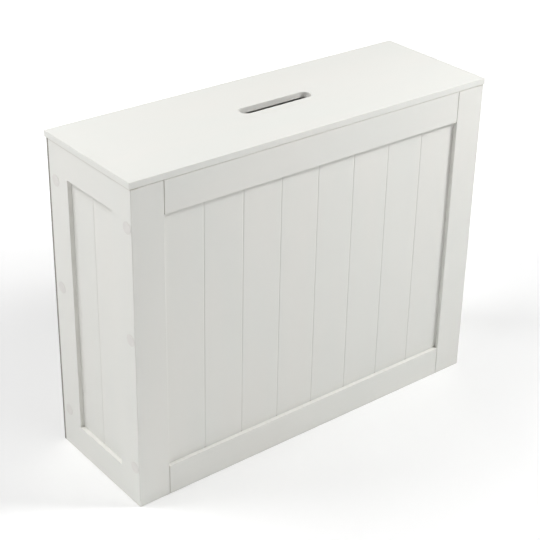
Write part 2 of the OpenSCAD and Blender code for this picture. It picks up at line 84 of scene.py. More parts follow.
# %% [markdown]
# ## Arithmetic on a surface
#
# A finish is a tree of nodes, and most of those nodes do plain sums: a little
# more grain here, a little less shine there. Each Math node could be placed and
# wired by hand, but that hides what is meant. So one small class wraps the
# output of a node. A sum such as `1 - mask * 0.5` adds its Math nodes, and
# `node` adds a node of any other kind: its settings are set first, and then its
# sockets get values or links. Sums are for numbers alone: a Math node would turn
# a colour grey.

# %% A class for sums that vary over a surface
class Sums:
    """The output of a node, as something to do sums with."""

    def __init__(self, socket):
        self.socket = socket

    def node(self, kind, settings=None, sockets=None, output=0):
        """Adds a node; sockets holds values or outputs, by the socket's name or place."""
        tree = self.socket.id_data
        added = tree.nodes.new(kind)
        for name, value in (settings or {}).items():
            setattr(added, name, value)
        for place, value in (sockets or {}).items():
            if isinstance(value, Sums):
                tree.links.new(value.socket, added.inputs[place])
            else:
                added.inputs[place].default_value = value
        return type(self)(added.outputs[output])

    def apply(self, operation, *others):
        """A Math node that works on this number, and on others where it takes more."""
        return self.node(
            "ShaderNodeMath", {"operation": operation}, dict(enumerate((self, *others)))
        )

    def __add__(self, other):
        return self.apply("ADD", other)

    def __sub__(self, other):
        return self.apply("SUBTRACT", other)

    def __rsub__(self, other):
        return self.node("ShaderNodeMath", {"operation": "SUBTRACT"}, {0: other, 1: self})

    def __mul__(self, other):
        return self.apply("MULTIPLY", other)

    __radd__, __rmul__ = __add__, __mul__

    def size(self):
        """The number without its sign."""
        return self.apply("ABSOLUTE")

    def least(self, other):
        """The smaller of two numbers at each point."""
        return self.apply("MINIMUM", other)

    def most(self, other):
        """The larger of two numbers at each point."""
        return self.apply("MAXIMUM", other)

    def diagonal(self, other):
        """The straight distance that two steps make, square to each other."""
        return (self * self + other * other).apply("SQRT")

    def wave(self, length):
        """A sine along the number, with the given wavelength."""
        return (self * (2 * math.pi / length)).apply("SINE")


def steps_of(made):
    """The names of what a class can do."""
    return [name for name in vars(made) if not name.startswith("_")]


print("sums, besides + - and *:", steps_of(Sums))

# %% [markdown]
# ## Layers of a finish
#
# A few other nodes are needed in nearly every finish. Map Range gives a mask its
# soft edge, Separate XYZ and Vector Math work on places, Noise and Voronoi make
# patterns, Mix blends colours and Bump turns a height into relief. Each could be
# called through `node` with its sockets spelled out, but a finish would get
# long. So a second class, `Layer`, builds on the first and gives each of these
# nodes a name.

# %% A class for the layers of a finish
class Layer(Sums):
    """A number, colour or direction that varies over a surface."""

    def rise(self, low, high):
        """0 below low and 1 above high, smoothly; with high below low it falls instead."""
        start, end = (0.0, 1.0) if low < high else (1.0, 0.0)
        return self.node(
            "ShaderNodeMapRange",
            {"interpolation_type": "SMOOTHSTEP"},
            {0: self, 1: min(low, high), 2: max(low, high), 3: start, 4: end},
        )

    def stretched(self, factors):
        """Places with each part multiplied; below 1 it draws a pattern out that way."""
        return self.node(
            "ShaderNodeVectorMath", {"operation": "MULTIPLY"}, {0: self, 1: factors}
        )

    def parts(self):
        """The parts of places along X, Y and Z, from one node."""
        split = self.node("ShaderNodeSeparateXYZ", sockets={0: self}).socket.node
        return [type(self)(output) for output in split.outputs]

    def noise(self, scale, detail=2.0, roughness=0.5):
        """A cloudy number between 0 and 1; scale counts its waves per metre."""
        sockets = {"Vector": self, "Scale": scale, "Detail": detail, "Roughness": roughness}
        return self.node("ShaderNodeTexNoise", sockets=sockets)

    def specks(self, scale):
        """Distance to the nearest of points strewn over the surface, in cells."""
        return self.node("ShaderNodeTexVoronoi", sockets={"Vector": self, "Scale": scale})

    def blend(self, first, second):
        """first where the layer is 0 and second where it is 1; both are colours."""
        return self.node(
            "ShaderNodeMix", {"data_type": "RGBA"}, {0: self, 6: first, 7: second}, output=2
        )

    def relief(self, height, depth):
        """The surface's direction where a height layer stands up by depth metres."""
        return self.node(
            "ShaderNodeBump", sockets={"Height": height, "Distance": depth, "Strength": 1.0}
        )


print("for layers:", steps_of(Layer))

# %% [markdown]
# ## A finish from start to end
#
# Every finish starts and ends alike, so both ends get a function. The start
# makes a material and hands out the place of each point, in metres. A UV map
# could give places too, but these boards have none, and the `Object` output of
# a Texture Coordinate node needs none. All pieces sit at the origin, so these
# places are those in the whole box, and patterns run on from board to board.
# The end sets the shader's sockets, or links them. Colours are written as a
# screen shows them and turned into the light that they stand for.

# %% Start a finish
X, Y, Z = 0, 1, 2


def start_finish(name):
    """A new material, its shader, and the layer of places on the surface, in metres."""
    finish = bpy.data.materials.new(name)
    finish.use_nodes = True
    shader = finish.node_tree.nodes["Principled BSDF"]
    places = finish.node_tree.nodes.new("ShaderNodeTexCoord")
    return finish, shader, Layer(places.outputs["Object"])


def facing(places, axis):
    """1 on a face that is square to an axis, and 0 on one that runs along it."""
    directions = Layer(places.socket.node.outputs["Normal"])
    return directions.parts()[axis].size().rise(0.5, 0.9)


def along(axis, factor):
    """Factors for stretched, which draw a pattern out along one axis."""
    return [factor if part == axis else 1.0 for part in (X, Y, Z)]


print("drawn out along Z:", along(Z, 0.3))

# %% Close a finish
def close_finish(shader, **layers):
    """Sets or links the shader's sockets, named with _ for a space."""
    for name, value in layers.items():
        socket = shader.inputs[name.replace("_", " ")]
        if isinstance(value, Layer):
            shader.id_data.links.new(value.socket, socket)
        else:
            socket.default_value = value


def linear(red, green, blue):
    """A colour as a screen shows it, 0 to 255, as the light that it stands for."""
    parts = [v / 255 for v in (red, green, blue)]
    parts = [v / 12.92 if v <= 0.04045 else ((v + 0.055) / 1.055) ** 2.4 for v in parts]
    return (*parts, 1.0)


def put_on(piece, finish):
    """Gives a piece its finish, in place of what it came with."""
    piece.data.materials.clear()
    piece.data.materials.append(finish)


print("a screen's middle grey, as light:", round(linear(128, 128, 128)[0], 3))

# %% [markdown]
# ## The arrises
#
# Paint wears first on the arrises, the edges where two faces of a board meet.
# A mask for them could be painted by hand or baked from the mesh, but every
# board would need its own. The distance to the nearest edge needs no drawing:
# of a point's distances to the board's faces along X, Y and Z, the smallest is
# 0 on the surface, and the middle one is the distance to the edge. Boards that
# are glued flush are measured as one, because their joint is no arris.

# %% Find the arrises of a board
def joined_box(nodes):
    """The box round one board, or round boards that are glued flush to each other."""
    lows, highs = zip(*(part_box(node) for node in nodes))
    return [min(v) for v in zip(*lows)], [max(v) for v in zip(*highs)]


def edge_distance(places, nodes):
    """How far each point of a board is from its nearest edge, in metres."""
    across, depth, height = [
        (part - near).size().least((part - far).size())
        for part, near, far in zip(places.parts(), *joined_box(nodes))
    ]
    return across.least(depth).most(across.most(depth).least(height))


glued_low, glued_high = joined_box(["left_side_panel", "left_front_stile"])
glued_size = [round(1000 * (high - low), 1) for low, high in zip(glued_low, glued_high)]
print("left side with its stile:", glued_size, "mm")

# %% [markdown]
# ## The satin paint
#
# The visible boards are sprayed fibreboard. Close up, such paint isn't flat:
# it has a fine orange peel, slow drifts of tone where one pass overlapped the
# next, and here and there a nib of dust. It is thinnest and most polished on
# the arrises, where hands and cloths rub it. The cut edges of the board drank
# more of it, so they are a little rougher than the pressed faces. Ledges that
# face up get a painted highlight, paler paint where light falls on them. The
# paint is greyed by dust in the joints, in patches at the foot, and by painted
# shade in the gap under the lid and in hollows. One material could serve all
# boards, but then the rubbed line couldn't follow each board's own edges. So a
# class mixes the paint for one board, and a board can add what is its own
# before the paint is closed.

# %% Choose the tones, the grain and the widths of the paint
PAINT = linear(233.3, 232.5, 227.4)
PAINT_COOL = linear(231.3, 231.9, 227.0)
# The grey of thin, worn paint, also used for painted shade
PAINT_WORN_AND_SHADED = linear(212, 209, 201)
# Paler paint for painted highlights
PAINTED_LIGHT = linear(243, 242, 237)

# Waves per metre, from the slow drifts of the spray to the fibres of the board
DRIFTS, NIBS, WORN_PATCHES, WORN_SPOTS, FOOT_PATCHES = 11.0, 34.0, 55.0, 80.0, 85.0
WIPES, PEEL, FIBRES = 340.0, 560.0, 2600.0

# Metres: where a mask begins, and where it is full
ARRIS_WEAR = (0.0024, 0.0002)
LEDGE_BAND = (0.0016, 0.0008)
FOOT_BAND = (0.004, 0.0)
UNDER_LID_BAND = (0.4678, 0.4688)
PEEL_DEPTH = 0.00003
print("paint, as light:", [round(v, 3) for v in PAINT[:3]])

# %% Mix the paint for one board
class Paint:
    """Sprayed paint on one board; squeeze draws its drifts out along the board."""

    def __init__(self, node, squeeze, thickness_axis, glued_to=()):
        self.finish, self.shader, self.places = start_finish("satin_paint_" + node)
        self.across, self.depth, self.height = self.places.parts()
        self.drift = self.places.stretched(squeeze).noise(DRIFTS, detail=3.0, roughness=0.55)
        near_edge = edge_distance(self.places, (node, *glued_to)).rise(*ARRIS_WEAR)
        self.rubbed = near_edge * self.places.noise(WORN_PATCHES, detail=3.0).rise(0.40, 0.62)
        self.cut_edge = 1 - facing(self.places, thickness_axis)
        self.dirt_and_shade = self.painted_light = None

    def rub(self, distance, width):
        """Rubs the paint within width of a line, given as a layer of distance from it."""
        spots = self.places.noise(WORN_SPOTS, detail=3.0).rise(0.35, 0.62)
        self.rubbed = self.rubbed.most(distance.rise(width, width * 0.1) * spots)

    def grey_with_dirt_and_shade(self, mask, strength):
        """Greys the paint where a mask says: for dust, hand marks and dark joints, and for
        painted shade.
        """
        more = mask * strength
        self.dirt_and_shade = more if self.dirt_and_shade is None else self.dirt_and_shade.most(more)

    def pool(self, ledge):
        """Paints a highlight on a ledge, given by its height: paler paint on its top face."""
        on_ledge = (self.height - ledge).size().rise(*LEDGE_BAND)
        self.painted_light = facing(self.places, Z) * on_ledge

    def close(self, shade_under_lid=0.3):
        """Greys each board's foot in patches, paints shade at its top under the lid, and ends
        the paint.
        """
        # The paint is greyed in patches within 4 mm of the floor.
        patches_at_foot = self.places.noise(FOOT_PATCHES, detail=4.0, roughness=0.7).rise(0.3, 0.6)
        self.grey_with_dirt_and_shade(self.height.rise(*FOOT_BAND) * patches_at_foot, strength=0.6)
        # Painted shade at the top of the board, under the overhang of the lid.
        self.grey_with_dirt_and_shade(self.height.rise(*UNDER_LID_BAND), strength=shade_under_lid)

        tone = self.drift.rise(0.32, 0.68).blend(PAINT, PAINT_COOL)
        tone = (self.rubbed * 0.08).blend(tone, PAINT_WORN_AND_SHADED)
        # Painted highlight: paler paint where the ledges and the slot's wall catch light.
        if self.painted_light is not None:
            tone = self.painted_light.blend(tone, PAINTED_LIGHT)
        # Dust, hand marks, dark joints and painted shade grey the paint here.
        tone = self.dirt_and_shade.blend(tone, PAINT_WORN_AND_SHADED)

        wiped = self.places.stretched(along(X, 0.12)).noise(WIPES, roughness=0.6)
        rough = 0.43 + self.drift * 0.08 + wiped * 0.07 + self.cut_edge * 0.08

        peel = self.places.noise(PEEL, roughness=0.55)
        fibre = self.places.noise(FIBRES, roughness=0.7) * (0.12 + self.cut_edge * 0.2)
        nib = self.places.specks(NIBS).rise(0.016, 0.004)
        close_finish(
            self.shader,
            Base_Color=tone,
            Roughness=rough - self.rubbed * 0.04,
            Normal=self.places.relief(peel + fibre + nib, depth=PEEL_DEPTH),
            Specular_IOR_Level=0.4,
        )
        return self.finish


print("a board's paint:", steps_of(Paint))

# %% [markdown]
# ## The plain boards
#
# Two stiles and two rails make the front frame, and a base board lies inside.
# The spray gun moved along each board, so the drifts are drawn out that way. The
# rails end in an open joint against the stiles, where a hairline of dust sits.
# Such a line could be a thin strip of its own, but the joint itself is already
# cut in the solids, so greying the paint beside it is enough.

# %% Paint the plain boards of the frame
UPRIGHT, LEVEL = along(Z, 0.3), along(X, 0.3)
JOINT_BAND = (0.0010, 0.0003)
LEDGE_HEIGHT = 0.046
plain_boards = {
    "left_front_stile": (UPRIGHT, Y, "left_side_panel"),
    "right_front_stile": (UPRIGHT, Y, "right_side_panel"),
    "top_front_rail": (LEVEL, Y),
    "bottom_front_rail": (LEVEL, Y),
    "base_board": (LEVEL, Z),
}
for node, (squeeze, axis, *glued_to) in plain_boards.items():
    board_paint = Paint(node, squeeze, axis, glued_to)
    if node.endswith("front_rail"):
        to_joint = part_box(node)[1].x - board_paint.across.size()
        board_paint.grey_with_dirt_and_shade(to_joint.rise(*JOINT_BAND), strength=0.6)
        # Painted highlight: the rail's top ledge is painted paler.
        board_paint.pool(LEDGE_HEIGHT)
    put_on(boards[node], board_paint.close())
print("plain boards painted:", len(plain_boards))

# %% [markdown]
# ## The grooved front panel
#
# Seven V-grooves divide the panel into eight boards. The grooves are cut in the
# CAD solid, so light and shade fall into them by themselves. Only a greying of
# the paint is added: a thin line of dust and painted shade down each groove, and
# a dark pocket of painted shade where the groove runs down to the bottom rail.
# Seven masks could be made, one for each groove, but snapping X to the pitch of
# the grooves gives the distance to the nearest one in a single step.

# %% Paint the front panel
GROOVE_PITCH = 0.0625
GROOVE_BAND = (0.0006, 0.0)
POCKET_WIDTH_BAND, POCKET_HEIGHT_BAND = (0.0014, 0.0006), (0.0022, 0.0012)


def groove_distance(across):
    """How far each point is from the middle of the nearest groove."""
    return (across - (across + GROOVE_PITCH / 2).apply("SNAP", GROOVE_PITCH)).size()


def groove_foot(from_groove, height, ledge):
    """1 in the pocket where a groove runs down to a ledge, where shade is painted."""
    near_ledge = (height - ledge).size().rise(*POCKET_HEIGHT_BAND)
    return from_groove.rise(*POCKET_WIDTH_BAND) * near_ledge


panel_paint = Paint("front_panel", UPRIGHT, Y)
groove = groove_distance(panel_paint.across)
# A thin line of dust and painted shade down each groove.
panel_paint.grey_with_dirt_and_shade(groove.rise(*GROOVE_BAND), strength=0.35)
# Painted shade: a dark pocket at the foot of each groove.
pocket_shade = groove_foot(groove, panel_paint.height, LEDGE_HEIGHT)
panel_paint.grey_with_dirt_and_shade(pocket_shade, strength=1.0)
put_on(boards["front_panel"], panel_paint.close())
panel_low, panel_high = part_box("front_panel")
print("boards in the panel:", round((panel_high - panel_low).x / GROOVE_PITCH))

# %% [markdown]
# ## The routed sides
#
# A cutter sank a rectangle 6 mm deep into each side panel and then a V-groove
# down the middle of it. Its floor is a milled face, a touch rougher than the
# pressed one, and its rims are arrises too, so they are rubbed like the outer
# ones. The lower rim is a ledge with a painted highlight, paler paint where
# light falls on it, and the corner under the upper rim gets a line of painted
# shade. The groove gets dust and painted shade as on the front. Floor, rims and
# outer face could be separate materials, but wear doesn't stop at a face. So one
# paint covers all of them, and masks come from the distance to the rectangle
# that the cutter followed.

# %% Measure from the rim of a side's recess
RECESS_MIDDLE, RECESS_HALF_DEPTH = -0.0031, 0.0524
RECESS_FOOT, RECESS_HEAD = 0.045, 0.4255
INSIDE_BAND, BROW_BAND = (0.0, -0.001), (-0.001, 0.0)
CORNER_BAND = (0.0013, 0.0005)
WALL_BAND = (0.2960, 0.2940)


def rim_distance(depth, height):
    """How far each point is outside the rim of a recess; inside it is negative."""
    past_side = (depth - RECESS_MIDDLE).size() - RECESS_HALF_DEPTH
    half_height = (RECESS_HEAD - RECESS_FOOT) / 2
    past_end = (height - (RECESS_HEAD + RECESS_FOOT) / 2).size() - half_height
    return past_side.most(past_end)


recess_size = (2 * RECESS_HALF_DEPTH, RECESS_HEAD - RECESS_FOOT)
print("recess:", [round(1000 * v, 1) for v in recess_size], "mm")

# %% Paint the side panels
for side, hand in ((-1, "left"), (1, "right")):
    node = hand + "_side_panel"
    side_paint = Paint(node, UPRIGHT, X, [hand + "_front_stile"])
    rim = rim_distance(side_paint.depth, side_paint.height)
    inside = rim.rise(*INSIDE_BAND)
    side_paint.rub(rim.size(), width=0.0016)
    milled = inside * (side_paint.across * side).rise(*WALL_BAND)
    side_paint.cut_edge = side_paint.cut_edge.most(milled * 0.6)
    # The groove: a thin line of dust and painted shade, and painted shade in the pocket at
    # its foot.
    groove = (side_paint.depth - RECESS_MIDDLE).size()
    side_paint.grey_with_dirt_and_shade(groove.rise(*GROOVE_BAND) * inside, strength=0.3)
    pocket_shade = groove_foot(groove, side_paint.height, RECESS_FOOT)
    side_paint.grey_with_dirt_and_shade(pocket_shade * inside, strength=1.0)
    # Painted highlight on the lower rim of the recess.
    side_paint.pool(RECESS_FOOT)
    # Painted shade: a thin line in the corner under the upper rim.
    brow_shade = (side_paint.height - RECESS_HEAD).rise(*BROW_BAND)
    side_paint.grey_with_dirt_and_shade(brow_shade * rim.size().rise(*CORNER_BAND), strength=0.55)
    # The sides get strong painted shade at the top, under the lid.
    put_on(boards[node], side_paint.close(shade_under_lid=0.95))
    print(node, "painted:", len(side_paint.finish.node_tree.nodes), "nodes")

# %% [markdown]
# ## The lid
#
# Fingers reach through the slot and pull up on its front rim, so that is where
# the paint is handled most: a little greyer and a little glossier than the
# rest. The wall of the slot gets a painted highlight: its paint is paler,
# standing in for light. The stain could be painted as a picture, but it has to
# follow the slot exactly. The slot is a stadium, so the distance to its outline
# is the distance to a line segment, less the radius, and everything grows from
# that.

# %% Paint the lid
SLOT_STRAIGHT_HALF, SLOT_RADIUS, SLOT_DEPTH_PLACE = 0.04975, 0.01025, 0.001
SLOT_WALL_BAND = (0.0005, 0.0)
FINGER_REACH = (0.034, 0.002)
TOWARDS_FRONT = (0.004, -0.02)


def slot_distance(across, depth):
    """How far each point of the lid is from the outline of the slot; 0 on its wall."""
    past_end = (across.size() - SLOT_STRAIGHT_HALF).most(0.0)
    return past_end.diagonal(depth - SLOT_DEPTH_PLACE) - SLOT_RADIUS


lid_paint = Paint("lid", LEVEL, Z)
slot = slot_distance(lid_paint.across, lid_paint.depth)
lid_paint.rub(slot.size(), width=0.0018)
# Painted highlight: the wall of the slot is painted paler.
lid_paint.painted_light = slot.rise(*SLOT_WALL_BAND) * (1 - facing(lid_paint.places, Z))
marks = lid_paint.places.noise(62.0, detail=3.0, roughness=0.6).rise(0.44, 0.66)
handled = slot.rise(*FINGER_REACH) * marks
lid_paint.grey_with_dirt_and_shade(handled * lid_paint.depth.rise(*TOWARDS_FRONT), strength=0.16)
put_on(boards["lid"], lid_paint.close(shade_under_lid=0.0))
print("slot:", round(2000 * (SLOT_STRAIGHT_HALF + SLOT_RADIUS), 1), "mm long")

# %% [markdown]
# ## Growth rings
#
# Growth rings are shells round the heart of the tree. A sawn piece cuts them as
# lines on its long faces and as arcs on its ends. A picture of wood could be
# wrapped round a piece, but its ends would look wrong. So the rings are worked
# out in space: each point's distance from a heart that lies a few centimetres
# outside the piece is bent slowly, divided by the width of a year, and what is
# left over after whole years is the ring. The fine fibres between them are
# noise, drawn out along the piece.

# %% Grow the rings of a piece of softwood
YEAR_WIDTH, YEAR_BEND = 0.0028, 0.007


def growth_rings(places, axis, heart):
    """0 in spring wood to 1 at the end of a year's growth; the piece runs along axis."""
    bend = places.stretched(along(axis, 0.12)).noise(22.0)
    flat = places.stretched(along(axis, 0.04))
    away = flat.node(
        "ShaderNodeVectorMath", {"operation": "DISTANCE"}, {0: flat, 1: heart}, output=1
    )
    years = (away + bend * YEAR_BEND) * (1 / YEAR_WIDTH)
    return years.apply("FRACT").rise(0.25, 0.95)


def fine_fibres(places, axis):
    """The fibres of the wood, as fine lines along the piece."""
    return places.stretched(along(axis, 0.03)).noise(1500.0, detail=3.0, roughness=0.6)


print("rings:", round(0.01 / YEAR_WIDTH, 1), "in a centimetre")

# %% [markdown]
# ## The thin coat inside
#
# The uprights and rails that only the inside shows are softwood with one thin
# coat. The satin paint would do from afar, but thin paint sinks into wood and
# lets its grain stand through: long, soft ridges along the piece, with a
# slightly yellower tone in the hollows. So the rings give both the relief and
# the tone, and each piece gets a heart of its own, as if from another tree.

# %% Give the inner uprights and rails their thin coat
COAT, COAT_SUNK = linear(228, 226, 219), linear(214, 208, 192)
inner_pieces = {
    "left_rear_upright": (Z, (-0.30, 0.15, 0.0)),
    "right_rear_upright": (Z, (0.31, 0.02, 0.0)),
    "hinge_rail": (X, (0.0, 0.16, 0.40)),
    "rear_bottom_rail": (X, (0.0, 0.05, -0.03)),
}
for node, (axis, heart) in inner_pieces.items():
    finish, shader, places = start_finish("thin_coat_" + node)
    rings, fibres = growth_rings(places, axis, heart), fine_fibres(places, axis)
    cloud = places.noise(30.0, detail=3.0, roughness=0.6).rise(0.35, 0.7)
    close_finish(
        shader,
        Base_Color=(rings * 0.35 + cloud * 0.35).blend(COAT, COAT_SUNK),
        Roughness=0.5 + fibres * 0.2 - rings * 0.06,
        Normal=places.relief(rings * 0.8 + fibres * 0.6, depth=0.00009),
        Specular_IOR_Level=0.35,
    )
    put_on(boards[node], finish)
print("thin coats:", len(inner_pieces))

# %% [markdown]
# ## The back board
#
# A thin sheet of fibreboard closes the back. Its rear and its edges are raw:
# grey-brown, with pale and dark fibres a few millimetres long, cloudy where the
# pulp lay thicker, and printed with the fine weave of the screen that it was
# pressed on. The face towards the inside is painted. Two materials on different
# faces would mean changing the CAD mesh, so one finish does both, with the depth
# of a point as the switch.

# %% Finish the back board
PULP, PULP_DARK = linear(150, 148, 142), linear(118, 116, 110)
PULP_PALE = linear(178, 175, 168)
SCREEN_PITCH = 0.0016
PAINT_SKIN = 0.0001

finish, shader, places = start_finish("raw_fibreboard")
across, depth, height = places.parts()
back_low, back_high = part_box("back_panel")
inner_face = back_low.y + PAINT_SKIN / 2
painted_side = depth.rise(inner_face + PAINT_SKIN, inner_face)
clouds = places.noise(24.0, detail=4.0, roughness=0.62)
fibres = places.stretched(along(Z, 0.35)).noise(420.0, detail=4.0, roughness=0.75)
dark_fibres = places.stretched(along(X, 0.3)).noise(300.0, detail=3.0, roughness=0.7)
screen = across.wave(SCREEN_PITCH) * height.wave(SCREEN_PITCH) * facing(places, Y)
pulp = (clouds.rise(0.3, 0.7) * 0.35).blend(PULP, PULP_PALE)
pulp = (fibres.rise(0.38, 0.66) * 0.4).blend(pulp, PULP_DARK)
pulp = (dark_fibres.rise(0.60, 0.74) * 0.4).blend(pulp, PULP_DARK)
close_finish(
    shader,
    Base_Color=painted_side.blend(pulp, COAT),
    Roughness=0.82 - painted_side * 0.3 + fibres * 0.1,
    Normal=places.relief(fibres * 0.8 + screen * (1 - painted_side) * 0.35, depth=0.00022),
    Specular_IOR_Level=0.25,
)
put_on(boards["back_panel"], finish)
print("back board:", round(1000 * (back_high.y - back_low.y), 1), "mm thick")

# %% [markdown]
# ## Bare pine: the battens
#
# Nobody paints what stands under the base board. The battens are sawn pine, so
# they show their rings, saw marks across the grain and a grey bloom of handling.
# The rings of the coated pieces are used again, only bare. The saw marks could
# be cut into the mesh, but they are a tenth of a millimetre deep, so a wave in
# the relief does for them.

# %% Leave the battens bare
PINE, PINE_LATE = linear(226, 200, 156), linear(188, 145, 95)
PINE_HANDLED = linear(150, 128, 98)
SAW_PITCH = 0.0034
battens = {
    "front_batten": (X, (0.0, -0.03, 0.05)),
    "left_end_batten": (Y, (-0.32, 0.0, -0.02)),
    "right_end_batten": (Y, (0.25, 0.0, 0.05)),
}
for node, (axis, heart) in battens.items():
    finish, shader, places = start_finish("bare_pine_" + node)
    rings, fibres = growth_rings(places, axis, heart), fine_fibres(places, axis)
    bloom = places.noise(45.0, detail=4.0, roughness=0.65).rise(0.4, 0.75)
    saw_marks = places.parts()[axis].wave(SAW_PITCH)
    wood = (rings * 0.75).blend(PINE, PINE_LATE)
    wood = (fibres.rise(0.5, 0.72) * 0.3).blend(wood, PINE_LATE)
    close_finish(
        shader,
        Base_Color=(bloom * 0.25).blend(wood, PINE_HANDLED),
        Roughness=0.66 + fibres * 0.2,
        Normal=places.relief(rings * 0.6 + fibres * 0.8 + saw_marks * 0.15, depth=0.00015),
        Specular_IOR_Level=0.3,
    )
    put_on(boards[node], finish)
print("bare pine:", len(battens))

# %% [markdown]
# ## Beech: the dowels
#
# The dowels are turned beech, pinkish and covered in short dark flecks. Beech
# hardly shows its rings, so they are left out. Cells drawn out along the dowel
# make the flecks, and noise drawn out further makes the streaks. All dowels lie
# along X, so one finish serves them all.

# %% Turn the dowels in beech
BEECH, BEECH_DARK = linear(218, 184, 146), linear(201, 163, 124)
BEECH_FLECK = linear(160, 115, 82)

finish, shader, places = start_finish("beech")
flecks = places.stretched(along(X, 0.25)).specks(900.0).rise(0.28, 0.12)
streaks = places.stretched(along(X, 0.05)).noise(500.0, detail=3.0, roughness=0.6)
wood = streaks.rise(0.3, 0.7).blend(BEECH, BEECH_DARK)
close_finish(
    shader,
    Base_Color=(flecks * 0.5).blend(wood, BEECH_FLECK),
    Roughness=0.55 + streaks * 0.15,
    Normal=places.relief(streaks - flecks * 0.4, depth=0.00006),
    Specular_IOR_Level=0.35,
)
dowels = ("front_frame_dowels", "rear_frame_dowels")
for node in dowels:
    put_on(boards[node], finish)
print("beech:", len(dowels))

# %% [markdown]
# ## The screw covers
#
# The side panels are screwed on, and a disc punched from white vinyl sheet hides
# each screw. The covers never quite match the paint: they are a shade darker
# and pinker, with the sheet's fine emboss, and dust clings to the glue at their
# rims. A mask for the rims could be baked from the mesh. It is simpler to say
# where the discs sit, in two rows and at three heights, and to measure from the
# nearest one.

# %% Punch the screw covers
COVER_RADIUS = 0.0085
COVER_RIM = (COVER_RADIUS - 0.0012, COVER_RADIUS - 0.0001)
COVER_ROWS, COVER_HEIGHTS = (-0.0895, 0.0783), (0.060, 0.257, 0.4155)
VINYL, VINYL_SHADE = linear(228.6, 226.3, 221.7), linear(224.6, 222.3, 218.2)
VINYL_DUST = linear(200, 199, 193)


def nearest(part, middles):
    """How far a part of each place is from the nearest of some values."""
    distance = (part - middles[0]).size()
    for middle in middles[1:]:
        distance = distance.least((part - middle).size())
    return distance


finish, shader, places = start_finish("cover_vinyl")
_, depth, height = places.parts()
from_middle = nearest(depth, COVER_ROWS).diagonal(nearest(height, COVER_HEIGHTS))
emboss = places.noise(1300.0, roughness=0.6)
tint = places.noise(70.0).rise(0.3, 0.7).blend(VINYL, VINYL_SHADE)
close_finish(
    shader,
    Base_Color=(from_middle.rise(*COVER_RIM) * 0.08).blend(tint, VINYL_DUST),
    Roughness=0.5 + emboss * 0.12,
    Normal=places.relief(emboss, depth=0.00005),
    Specular_IOR_Level=0.45,
)
for node in ("left_screw_caps", "right_screw_caps"):
    put_on(boards[node], finish)
print("covers:", 2 * len(COVER_ROWS) * len(COVER_HEIGHTS))

# %% [markdown]
# ## The pads under the lid
#
# Thin pads of milky rubber keep the lid off the carcass and soften its fall.
# Light goes a little way into such rubber, and subsurface scattering could show
# that, but the pads are less than half a millimetre thick and mostly hidden. A
# cloudy, slightly dusty tone with a fine tooth is enough.

# %% Mould the pads
PAD, PAD_DUSTY = linear(214, 214, 208), linear(198, 197, 190)

finish, shader, places = start_finish("pad_rubber")
bloom = places.noise(500.0, detail=3.0, roughness=0.6)
close_finish(
    shader,
    Base_Color=bloom.rise(0.3, 0.7).blend(PAD, PAD_DUSTY),
    Roughness=0.48 + bloom * 0.2,
    Normal=places.relief(places.noise(1800.0), depth=0.00004),
    Specular_IOR_Level=0.45,
)
put_on(boards["lid_bumpers"], finish)
pad_low, pad_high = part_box("lid_bumpers")
print("pads:", round(1000 * (pad_high - pad_low).z, 1), "mm thick")

# %% [markdown]
# ## Zinc: hinges, screws and pins
#
# They are steel with a thin coat of bright zinc: a metal, so its colour sits in
# the reflection. Metal with one even roughness would look like chrome. Zinc is
# cloudier, with a few dull spots and the fine lines of rolling and stamping. The
# lines run along the hinges, but screws point every way, so theirs aren't drawn
# out, and the two get a finish each from one function.

# %% Plate the hinges, screws and pins
ZINC, ZINC_CLOUD = linear(206, 209, 213), linear(182, 186, 189)
ZINC_SPOT = linear(146, 140, 128)


def bright_zinc(name, rolled):
    """Zinc on steel; rolled draws the fine lines out the way that the metal was rolled."""
    finish, shader, places = start_finish(name)
    lines = places.stretched(rolled).noise(2400.0, roughness=0.6)
    cloud = places.noise(160.0, detail=4.0, roughness=0.6).rise(0.35, 0.7)
    spots = places.noise(900.0, detail=3.0).rise(0.62, 0.72)
    close_finish(
        shader,
        Base_Color=(spots * 0.5).blend(cloud.blend(ZINC, ZINC_CLOUD), ZINC_SPOT),
        Metallic=1.0,
        Roughness=0.26 + cloud * 0.16 + lines * 0.12,
        Normal=places.relief(lines, depth=0.00003),
    )
    return finish


hinge_zinc = bright_zinc("zinc_hinge", along(X, 0.04))
screw_zinc = bright_zinc("zinc_screw", along(X, 1.0))
metal = [n for n in boards if "hinge_" in n and n != "hinge_rail"]
metal += ["left_side_screws", "right_side_screws", "batten_screws"]
metal += ["base_board_pins", "back_panel_pins"]
for node in metal:
    put_on(boards[node], hinge_zinc if node.endswith(("leaf", "pin")) else screw_zinc)
print("metal pieces:", len(metal))

# %% [markdown]
# ## The floor
#
# A product photograph like this stands on a sweep of white paper that goes
# fully white further off. A real sweep curves up behind the object, but from the
# other side it would hide the box. So the floor is one large flat sheet with a
# faint tooth, and glow does the rest. Close to the box it hardly glows, so the
# box keeps a soft shadow under it. Behind the box, as the photographer sees it,
# the paper glows brightly, as if it had lamps of its own, and goes white, and on
# the other sides it glows a little further out. All of that lies low, so little
# of it reaches the box.

# %% Lay the floor
FLOOR_REACH = 14.0

floor_mesh = bpy.data.meshes.new("studio_floor")
floor_mesh.from_pydata(
    [(x * FLOOR_REACH, y * FLOOR_REACH, 0) for x, y in ((-1, -1), (1, -1), (1, 1), (-1, 1))],
    [],
    [(0, 1, 2, 3)],
)
floor = bpy.data.objects.new("studio_floor", floor_mesh)
bpy.context.scene.collection.objects.link(floor)
print("floor:", 2 * FLOOR_REACH, "m each way")

